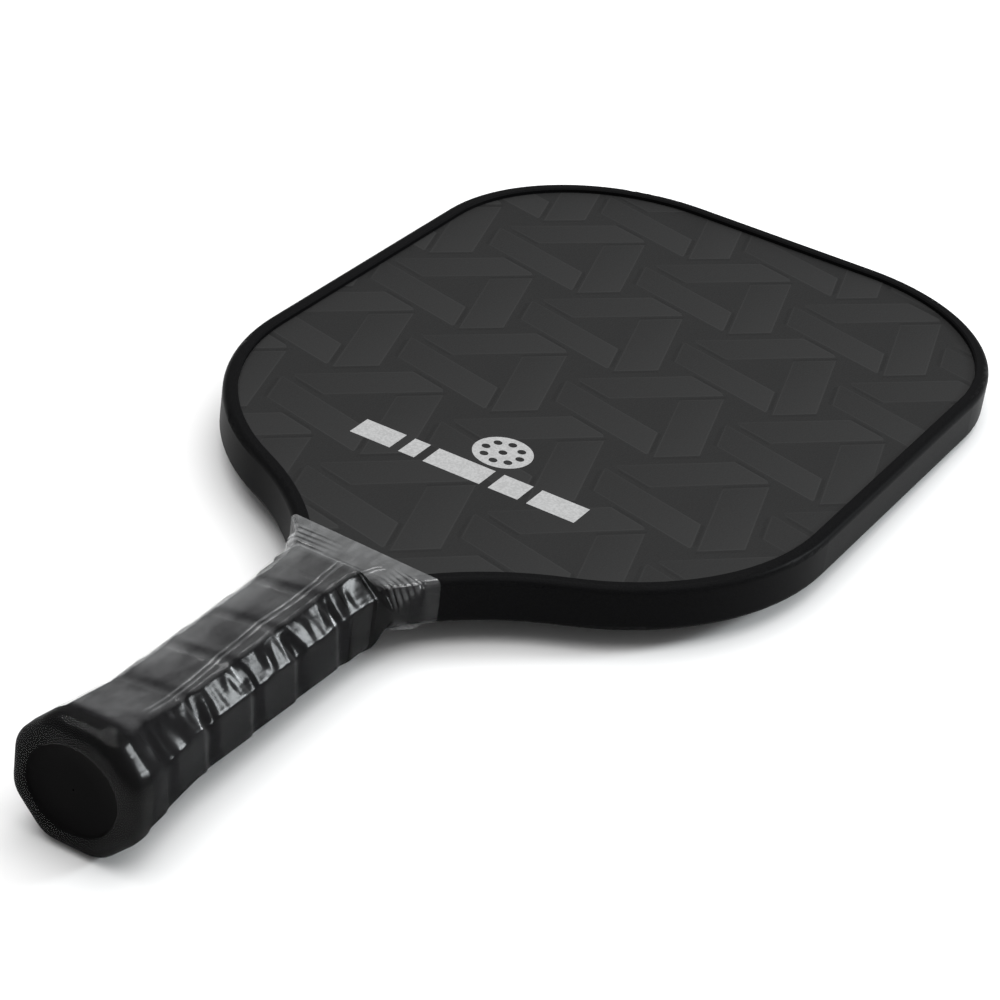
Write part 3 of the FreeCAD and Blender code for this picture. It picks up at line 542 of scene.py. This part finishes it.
def shrink_film(throat):
    """The clear film over the whole handle: rolled round the butt rim, stepped over the wrap's edges,
    bridging the corner at the throat and gathered in small folds where it meets the blade."""
    rng = np.random.default_rng(WAVE_SEED)
    outer, inner, hazes = [], [], []

    def make_waves(count, shortest, longest, steepest):
        """Waves as (length, turns round the handle, phase, slope)."""
        return [
            (rng.uniform(shortest, longest), rng.integers(1, 9) * rng.choice([-1, 1]),
             rng.uniform(0, TURN), rng.uniform(0.5, 1) * steepest)
            for _ in range(count)
        ]

    def add_ring(places, normals, haze, lean=0.0):
        """A ring of points; lean is how far its wall faces the butt end, from 0 to 1."""
        flat = math.sqrt(1 - lean * lean)
        outer.append(places)
        inward = np.column_stack([np.full(len(normals), lean), -normals * flat])
        inner.append(places + inward * FILM_THICKNESS)
        hazes.append(np.broadcast_to(haze, len(normals)))

    waves, fine_waves = make_waves(12, 6, 18, 0.040), make_waves(6, 3, 6, 0.024)
    rim = rim_rings(FILM_SLACK)
    first_x, first, directions = rim[0][:3]
    oval = end_oval(directions)
    for share in (0, 0.5):
        places = oval + share * (first - oval)
        add_ring(np.column_stack([np.full(len(places), first_x), places]), directions, 0.0, lean=FULL_LEAN)
    for x, points, normals, angle in rim:
        places = np.column_stack([np.full(len(points), x), points])
        add_ring(places, normals, 0.0, lean=math.cos(angle) * FULL_LEAN)
    for x in film_rows():
        width, height, bevel, rounding = film_size(x, throat)
        points, normals = section(width, height, bevel, rounding, film_knots(x, width - bevel))
        rise, haze = film_state(Ring(x, points, normals), waves, fine_waves)
        add_ring(slant_end(x, points + normals * rise[:, None], throat), normals, haze)
    piece = shell("shrink_film", np.array(outer), np.array(inner))
    # the film's haze together with its painted light and shade, for the material
    cloud = piece.data.attributes.new("haze", "FLOAT", "POINT")
    cloud.data.foreach_set("value", np.tile(np.array(hazes).ravel(), 2))
    return piece


# ---------------------------------------------------------------- finishing tape

def wound_tape(throat):
    """The finishing tape: wound turns, each a little off the last, and drawn down on the throat."""
    knots = even_knots()
    width, height, bevel = GRIP["width"], GRIP["height"], GRIP["bevel"]
    profile = [  # x and height over the wrap
        (TAPE_LOW[0], 0.02), (TAPE_LOW[0] + 0.15, 0.17), (TAPE_LOW[0] + 1.3, 0.18), (TAPE_LOW[0] + 1.5, 0.34),
        (TAPE_HIGH[0] - 1.0, 0.34), (TAPE_HIGH[0] - 0.8, 0.18),
    ]
    outer, inner = [], []
    for x, rise in profile:
        points, normals = section(width, height, bevel, GRIP_ROUNDING, knots)
        outer.append(np.column_stack([np.full(len(points), x), points + normals * rise]))
        inner.append(np.column_stack([np.full(len(points), x), points]))
    for x in np.linspace(TAPE_HIGH[0] - 0.5, GUARD_LOW[0] - 0.1, 24):
        size = film_size(x, throat)
        under = 0.30 + 0.12 * smooth(x, TAPE_HIGH[0], TAPE_HIGH[0] + 4)  # how far inside the film
        points, normals = section(size[0] - under, size[1] - under, size[2], size[3], knots)
        outer.append(np.column_stack([np.full(len(points), x), points]))
        inner.append(np.column_stack([np.full(len(points), x), points - normals * 0.15]))
    return shell("finishing_tape", np.array(outer), np.array(inner))


# ---------------------------------------------------------------- materials

class Look:
    """A material with one Principled shader, and short calls that add nodes to it."""

    def __init__(self, name, **values):
        self.material = bpy.data.materials.new(name)
        self.material.use_nodes = True
        self.tree = self.material.node_tree
        self.shader = self.tree.nodes["Principled BSDF"]
        for socket, value in values.items():
            self.shader.inputs[socket.replace("_", " ")].default_value = value
        self.place = self.add("ShaderNodeTexCoord").outputs["Object"]

    def add(self, kind, **settings):
        node = self.tree.nodes.new(kind)
        for key, value in settings.items():
            setattr(node, key, value)
        return node

    def feed(self, socket, source):
        """Put a number, a vector or another node's output on a socket."""
        if isinstance(source, (int, float, tuple)):
            socket.default_value = source
        else:
            self.tree.links.new(source, socket)

    def math(self, operation, first, second=0.0, third=0.0):
        node = self.add("ShaderNodeMath", operation=operation)
        for socket, source in zip(node.inputs, (first, second, third)):
            self.feed(socket, source)
        return node.outputs[0]

    def vector(self, operation, first, second=(0.0, 0.0, 0.0)):
        node = self.add("ShaderNodeVectorMath", operation=operation)
        self.feed(node.inputs[0], first)
        self.feed(node.inputs[1], second)
        return node.outputs["Value" if operation in ("DOT_PRODUCT", "LENGTH") else "Vector"]

    def axis(self, name):
        split = self.add("ShaderNodeSeparateXYZ")
        self.feed(split.inputs[0], self.place)
        return split.outputs[name]

    def remap(self, value, low, high, to_low=0.0, to_high=1.0, soft=True):
        node = self.add("ShaderNodeMapRange", interpolation_type="SMOOTHSTEP" if soft else "LINEAR")
        for socket, source in zip(node.inputs, (value, low, high, to_low, to_high)):
            self.feed(socket, source)
        return node.outputs[0]

    def noise(self, scale, detail=2.0, stretch=(1.0, 1.0, 1.0)):
        """Noise whose scale is in features per metre."""
        node = self.add("ShaderNodeTexNoise")
        self.feed(node.inputs["Vector"], self.vector("MULTIPLY", self.place, stretch))
        node.inputs["Scale"].default_value = scale
        node.inputs["Detail"].default_value = detail
        return node.outputs["Fac"]

    def shade(self, value, dark, light):
        """Colour the surface from dark to light by a value from 0 to 1."""
        ramp = self.add("ShaderNodeValToRGB")
        ramp.color_ramp.elements[0].color = (*dark, 1)
        ramp.color_ramp.elements[1].color = (*light, 1)
        self.feed(ramp.inputs[0], value)
        self.feed(self.shader.inputs["Base Color"], ramp.outputs[0])

    def roughen(self, value, low, high):
        self.feed(self.shader.inputs["Roughness"], self.remap(value, 0.3, 0.7, low, high, soft=False))

    def emboss(self, height, depth):
        """Bump the surface; depth is in millimetres."""
        bump = self.add("ShaderNodeBump")
        bump.inputs["Distance"].default_value = depth * MM
        self.feed(bump.inputs["Height"], height)
        self.feed(self.shader.inputs["Normal"], bump.outputs[0])


def grained(name, dark, light, rough, grain, depth, stretch=(1.0, 1.0, 1.0), inked=False, **values):
    """A material whose colour, roughness and relief follow one grain of grain features per metre.
    An inked one is black where the panel's cut edge shows beside the handle."""
    look = Look(name, **values)
    texture = look.noise(grain, 3.0, stretch)
    look.shade(look.remap(texture, 0.35, 0.65), dark, light)
    look.roughen(texture, *rough)
    look.emboss(texture, depth)
    if inked:
        ink_throat(look)
    return look.material


INK_END = 0.129  # x, in metres, to which an inked material is black
INK_FADE = 0.0005  # metres
INK = (0.006, 0.006, 0.006, 1)
MIX_FIRST, MIX_SECOND, MIX_RESULT = 6, 7, 2  # a colour Mix node's own sockets


def ink_throat(look):
    """Blacken a material up to INK_END."""
    colour = look.shader.inputs["Base Color"]
    mix = look.add("ShaderNodeMix", data_type="RGBA")
    look.feed(mix.inputs["Factor"], look.remap(look.axis("X"), INK_END - INK_FADE, INK_END, 1.0, 0.0))
    look.feed(mix.inputs[MIX_FIRST], colour.links[0].from_socket)
    mix.inputs[MIX_SECOND].default_value = INK
    look.feed(colour, mix.outputs[MIX_RESULT])


# the printed weave: a lattice of three strips, each turned from the last by a third of a turn
WEAVE_STEP_A = (49.52, -15.87)
WEAVE_STEP_B = (-39.52, -35.31)
WEAVE_STRIPS = (((219.1, 68.6), 75.8), ((219.1, 66.8), 15.8), ((220.4, 83.1), 135.8))  # corner, angle
STRIP_LENGTH = 38.9
STRIP_SIDE = 15.1  # length of a strip's slanted end
SLANT = math.sin(math.radians(60))
# how strongly each part of the print shows, on a scale from black to the lightest grey
BASE_TONE = 0.33
STRIP_TONE = 0.46
OUTLINE_TONE = 0.55  # over the strip's own tone
GAP_TONE = -0.16
THREAD_TONE = 0.28
GRIT_TONE = 0.18


def weave_strip(look, spot, corner, angle):
    """One family of strips at spot: the tone of a strip, and 1 in the dark gaps at its ends."""
    long_side = STRIP_LENGTH * np.array([math.cos(math.radians(angle)), math.sin(math.radians(angle))])
    turned = math.radians(angle - 60)
    short_side = STRIP_SIDE * np.array([math.cos(turned), math.sin(turned)])
    lattice = np.array([WEAVE_STEP_A, WEAVE_STEP_B]).T
    into_lattice = np.linalg.inv(lattice)
    middle = np.array(corner) + (long_side + short_side) / 2
    from_lattice = np.linalg.inv(np.array([long_side, short_side]).T) @ lattice
    offset = look.vector("SUBTRACT", spot, (*middle, 0.0))
    parts = []
    for row in into_lattice:
        steps = look.vector("DOT_PRODUCT", offset, (*row, 0.0))
        parts.append(look.math("SUBTRACT", look.math("FRACT", look.math("ADD", steps, 0.5)), 0.5))
    joined = look.add("ShaderNodeCombineXYZ")
    look.feed(joined.inputs[0], parts[0])
    look.feed(joined.inputs[1], parts[1])
    along = look.vector("DOT_PRODUCT", joined.outputs[0], (*from_lattice[0], 0.0))
    across = look.vector("DOT_PRODUCT", joined.outputs[0], (*from_lattice[1], 0.0))
    from_end = look.math("SUBTRACT", 0.5 * STRIP_LENGTH * SLANT, look.math(
        "MULTIPLY", look.math("ABSOLUTE", along), STRIP_LENGTH * SLANT))
    from_side = look.math("SUBTRACT", 0.5 * STRIP_SIDE * SLANT, look.math(
        "MULTIPLY", look.math("ABSOLUTE", across), STRIP_SIDE * SLANT))
    inside = look.math("MINIMUM", from_end, from_side)
    on_strip = look.remap(inside, -0.1, 0.25)
    outline = look.math("MULTIPLY", look.remap(inside, 0.0, 0.2), look.remap(inside, 0.75, 0.35))
    rise = look.math("ADD", look.math("MULTIPLY", along, float(long_side[1])),
                     look.math("MULTIPLY", across, float(short_side[1])))
    half_rise = 0.5 * (abs(long_side[1]) + abs(short_side[1]))
    glow = look.remap(rise, -half_rise, half_rise, 1.0, 0.12, soft=False)
    tone = look.math("MULTIPLY", on_strip, look.math("MULTIPLY_ADD", outline, OUTLINE_TONE, glow))
    gap = look.math("MULTIPLY", look.remap(from_end, -1.6, -1.0), look.remap(from_end, 0.0, -0.3))
    gap = look.math("MULTIPLY", gap, look.remap(from_side, -0.6, 0.2))
    return tone, gap


def face_material():
    """Charcoal film printed with the weave, under a fine grit."""
    look = Look("printed_face", Specular_IOR_Level=0.15)
    spot = look.vector("SCALE", look.place)
    spot.node.inputs["Scale"].default_value = 1 / MM
    strips = [weave_strip(look, spot, corner, angle) for corner, angle in WEAVE_STRIPS]
    tone, gaps = strips[0]
    for strip_tone, strip_gap in strips[1:]:
        tone = look.math("MAXIMUM", tone, strip_tone)
        gaps = look.math("MAXIMUM", gaps, strip_gap)
    grit = look.noise(1800.0, 4.0)
    threads = look.noise(500.0, 2.0, stretch=(1.0, 6.0, 1.0))
    level = look.math("MULTIPLY_ADD", tone, STRIP_TONE, BASE_TONE)
    level = look.math("MULTIPLY_ADD", gaps, GAP_TONE, level)
    level = look.math("MULTIPLY_ADD", look.math("SUBTRACT", threads, 0.5), THREAD_TONE, level)
    level = look.math("MULTIPLY_ADD", look.math("SUBTRACT", grit, 0.5), GRIT_TONE, level)
    look.shade(level, (0.0035, 0.0035, 0.0036), (0.0180, 0.0180, 0.0180))
    look.roughen(look.math("MULTIPLY_ADD", tone, -0.25, grit), 0.58, 0.50)
    look.emboss(look.math("MULTIPLY_ADD", tone, 0.6, grit), 0.02)
    return look.material


HAZE_ALPHA = 0.075  # how much haze 1 hides of what is below
CLEAR_ALPHA = 0.013  # alpha of clear film, which carries only its shine
HIDDEN_SHINE = 0.12  # share of the shine left where haze is below zero: painted shade
HAZE_GREY = (0.74, 0.75, 0.76)
FILM_IOR = 3.5  # high, so that a surface this thin in alpha still shines enough


def film_material():
    """Clear shrink film: mostly see-through, with a sharp shine and a grey cloudiness that carries painted
    light; below zero it paints shade by hiding the shine.
    """
    look = Look("clear_shrink_film", IOR=FILM_IOR)
    haze = look.add("ShaderNodeAttribute", attribute_name="haze").outputs["Fac"]
    clouds = look.noise(70.0, 3.0, stretch=(0.6, 1.0, 1.0))
    streaks = look.noise(330.0, 2.0, stretch=(0.3, 1.0, 1.0))
    texture = look.math("MULTIPLY_ADD", streaks, 0.35, look.math("MULTIPLY", clouds, 0.65))
    look.roughen(texture, 0.11, 0.17)
    look.emboss(look.math("MULTIPLY_ADD", streaks, 0.4, clouds), 0.18)
    uneven = look.remap(texture, 0.3, 0.7, 0.45, 1.5)
    cloud = look.math("MULTIPLY", look.math("MAXIMUM", haze, 0.0), uneven)
    cloudy = look.math("MULTIPLY", cloud, HAZE_ALPHA)
    shine = look.remap(haze, -0.9, 0.0, HIDDEN_SHINE, 1.0, soft=False)
    alpha = look.math("MULTIPLY_ADD", shine, CLEAR_ALPHA, cloudy)
    # grey where the haze and painted light ask for it, black elsewhere
    look.shade(look.math("DIVIDE", cloudy, alpha), (0.0, 0.0, 0.0), HAZE_GREY)
    look.feed(look.shader.inputs["Alpha"], alpha)
    return look.material


CAD_LOOKS = {
    "edge_guard": dict(dark=(0.0032, 0.0032, 0.0034), light=(0.0052, 0.0052, 0.0055), rough=(0.34, 0.42),
                       grain=2600.0, depth=0.012, Specular_IOR_Level=0.015),
    "butt_cap": dict(dark=(0.0012, 0.0012, 0.0012), light=(0.0026, 0.0026, 0.0027), rough=(0.5, 0.62),
                     grain=3000.0, depth=0.03, Specular_IOR_Level=0.03),
    "mark": dict(dark=(0.27, 0.27, 0.27), light=(0.34, 0.34, 0.34), rough=(0.42, 0.55),
                 grain=1500.0, depth=0.01),
    "pallet": dict(dark=(0.006, 0.006, 0.006), light=(0.014, 0.014, 0.014), rough=(0.7, 0.85),
                   grain=900.0, depth=0.08, Specular_IOR_Level=0.06),
    "core": dict(dark=(0.70, 0.71, 0.69), light=(0.84, 0.85, 0.83), rough=(0.4, 0.55),
                 grain=700.0, depth=0.03),
    "veil": dict(dark=(0.74, 0.74, 0.72), light=(0.9, 0.9, 0.88), rough=(0.8, 0.95),
                 grain=1400.0, depth=0.05, stretch=(1.0, 3.0, 1.0)),
    "sheet": dict(dark=(0.03, 0.03, 0.03), light=(0.07, 0.07, 0.07), rough=(0.3, 0.45),
                  grain=1200.0, depth=0.02, stretch=(4.0, 1.0, 1.0)),
    "adhesive": dict(dark=(0.55, 0.48, 0.30), light=(0.72, 0.64, 0.44), rough=(0.15, 0.3),
                     grain=300.0, depth=0.05),
    "guard_tape": dict(dark=(0.62, 0.62, 0.62), light=(0.78, 0.78, 0.78), rough=(0.75, 0.9),
                       grain=1600.0, depth=0.06),
    "underlay": dict(dark=(0.60, 0.58, 0.52), light=(0.76, 0.74, 0.68), rough=(0.8, 0.95),
                     grain=1500.0, depth=0.05, stretch=(3.0, 1.0, 1.0)),
    "staple": dict(dark=(0.55, 0.55, 0.56), light=(0.75, 0.75, 0.75), rough=(0.22, 0.4),
                   grain=2500.0, depth=0.01, Metallic=1.0),
}
# the new pieces under the film have no shine of their own: the film carries it
PIECE_LOOKS = {
    "wrap_leather": dict(dark=(0.004, 0.004, 0.0042), light=(0.009, 0.009, 0.0095), rough=(0.42, 0.55),
                         grain=1400.0, depth=0.02, Specular_IOR_Level=0.0),
    "tape_vinyl": dict(dark=(0.004, 0.004, 0.004), light=(0.008, 0.008, 0.008), rough=(0.22, 0.32),
                       grain=900.0, depth=0.02, Specular_IOR_Level=0.0),
}
INKED_LOOKS = ("core", "veil", "adhesive", "guard_tape", "sheet")
NODE_LOOKS = {
    "edge_guard": "edge_guard", "butt_cap": "butt_cap", "front_mark": "mark", "back_mark": "mark",
    "front_handle_pallet": "pallet", "back_handle_pallet": "pallet", "honeycomb_core": "core",
    "front_core_veil": "veil", "back_core_veil": "veil", "front_face_sheet": "sheet",
    "back_face_sheet": "sheet", "front_pallet_adhesive": "adhesive", "back_pallet_adhesive": "adhesive",
    "edge_guard_tape": "guard_tape", "grip_underlay_tape": "underlay", "butt_cap_staples": "staple",
}


def paint(node, material):
    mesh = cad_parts[node].data
    mesh.materials.clear()
    mesh.materials.append(material)


def paint_cad_nodes():
    """Give every CAD node its material; returns the materials by name."""
    made = {
        name: grained(name + "_finish", inked=name in INKED_LOOKS, **look)
        for name, look in CAD_LOOKS.items()
    }
    for node, look in NODE_LOOKS.items():
        paint(node, made[look])
    face = face_material()
    paint("front_graphic_film", face)
    paint("back_graphic_film", face)
    return made


# ---------------------------------------------------------------- stage, light and camera

CAMERA_PLACE = Vector((-0.5168, -0.3588, 0.4652))  # metres
CAMERA_AZIMUTH = 26.19  # degrees, as are the next two
CAMERA_ELEVATION = 30.42
CAMERA_ROLL = 8.35
CAMERA_LENS = 112.73


def add_camera():
    """The camera, looking down along the handle from beside the butt end."""
    azimuth, elevation = math.radians(CAMERA_AZIMUTH), math.radians(CAMERA_ELEVATION)
    forward = Vector((
        math.cos(elevation) * math.cos(azimuth), math.cos(elevation) * math.sin(azimuth),
        -math.sin(elevation)))
    level = forward.cross(Vector((0, 0, 1))).normalized()
    up = level.cross(forward)
    roll = math.radians(CAMERA_ROLL)
    right = level * math.cos(roll) + up * math.sin(roll)
    up = right.cross(forward)
    data = bpy.data.cameras.new("camera")
    data.lens = CAMERA_LENS
    data.sensor_width = 36.0
    data.clip_start = 0.01
    data.clip_end = 50.0
    camera = bpy.data.objects.new("camera", data)
    camera.matrix_world = Matrix((
        (right.x, up.x, -forward.x, CAMERA_PLACE.x), (right.y, up.y, -forward.y, CAMERA_PLACE.y),
        (right.z, up.z, -forward.z, CAMERA_PLACE.z), (0, 0, 0, 1)))
    bpy.context.scene.collection.objects.link(camera)
    bpy.context.scene.camera = camera


COLLAR_TOUCH = 5.0  # x where the collar rests on the floor
GUARD_ROUNDING = 2.2
FLOOR_GAP = 0.1
FLOOR_REACH = 6.0  # metres


def add_floor():
    """A pale floor that the paddle rests on with its collar and with the guard at the blade's tip."""
    low_butt = Vector((COLLAR_TOUCH, 0, SLEEVE_LOW[2] - FLOOR_GAP)) * MM
    low_tip = Vector((GUARD_HIGH[0] - GUARD_ROUNDING, 0, GUARD_LOW[2] - FLOOR_GAP)) * MM
    along = (low_tip - low_butt).normalized() * FLOOR_REACH
    aside = Vector((0, FLOOR_REACH, 0))
    start, end = low_butt - along, low_butt + along
    corners = [start - aside, end - aside, end + aside, start + aside]
    mesh = bpy.data.meshes.new("floor")
    mesh.from_pydata([tuple(corner) for corner in corners], [], [(0, 1, 2, 3)])
    floor = bpy.data.objects.new("floor", mesh)
    bpy.context.scene.collection.objects.link(floor)
    look = grained("pale_floor", (0.80, 0.80, 0.80), (0.83, 0.83, 0.83), (0.7, 0.8), 3.0, 0.01)
    mesh.materials.append(look)


def add_light(name, place, target, size, power, colour=(1, 1, 1)):
    data = bpy.data.lights.new(name, "AREA")
    data.shape = "RECTANGLE"
    data.size, data.size_y = size
    data.energy = power
    data.color = colour
    light = bpy.data.objects.new(name, data)
    light.location = place
    light.rotation_euler = (Vector(target) - Vector(place)).to_track_quat("-Z", "Y").to_euler()
    bpy.context.scene.collection.objects.link(light)


WORLD_STRENGTH = 0.35


def add_lights():
    """An even world, one large soft light overhead, and a small one that the right bevel mirrors."""
    world = bpy.data.worlds.new("studio")
    world.use_nodes = True
    world.node_tree.nodes["Background"].inputs["Color"].default_value = (1, 1, 1, 1)
    world.node_tree.nodes["Background"].inputs["Strength"].default_value = WORLD_STRENGTH
    bpy.context.scene.world = world
    middle = (0.2, 0.0, 0.0)
    add_light("overhead", (0.26, 0.1, 1.6), middle, (2.3, 2.3), 47)
    add_light("bevel_strip", (1.15, -1.01, 0.62), (0.08, 0, 0), (0.30, 0.30), 14, (0.93, 0.98, 1.0))


def main():
    scene = bpy.context.scene
    scene.view_settings.view_transform = "Standard"
    add_camera()
    add_floor()
    add_lights()
    made = paint_cad_nodes()
    leather, vinyl = (grained(name, **look) for name, look in PIECE_LOOKS.items())
    throat = throat_table()
    finish_piece(wound_wrap(), leather, "grip_leather", "grip_wrap")
    finish_piece(butt_end(), made["butt_cap"], "cap_plastic", "butt_cap")
    finish_piece(wound_tape(throat), vinyl, "finishing_tape", "grip_finishing_tape")
    finish_piece(shrink_film(throat), film_material(), "shrink_film", "shrink_sleeve")


main()
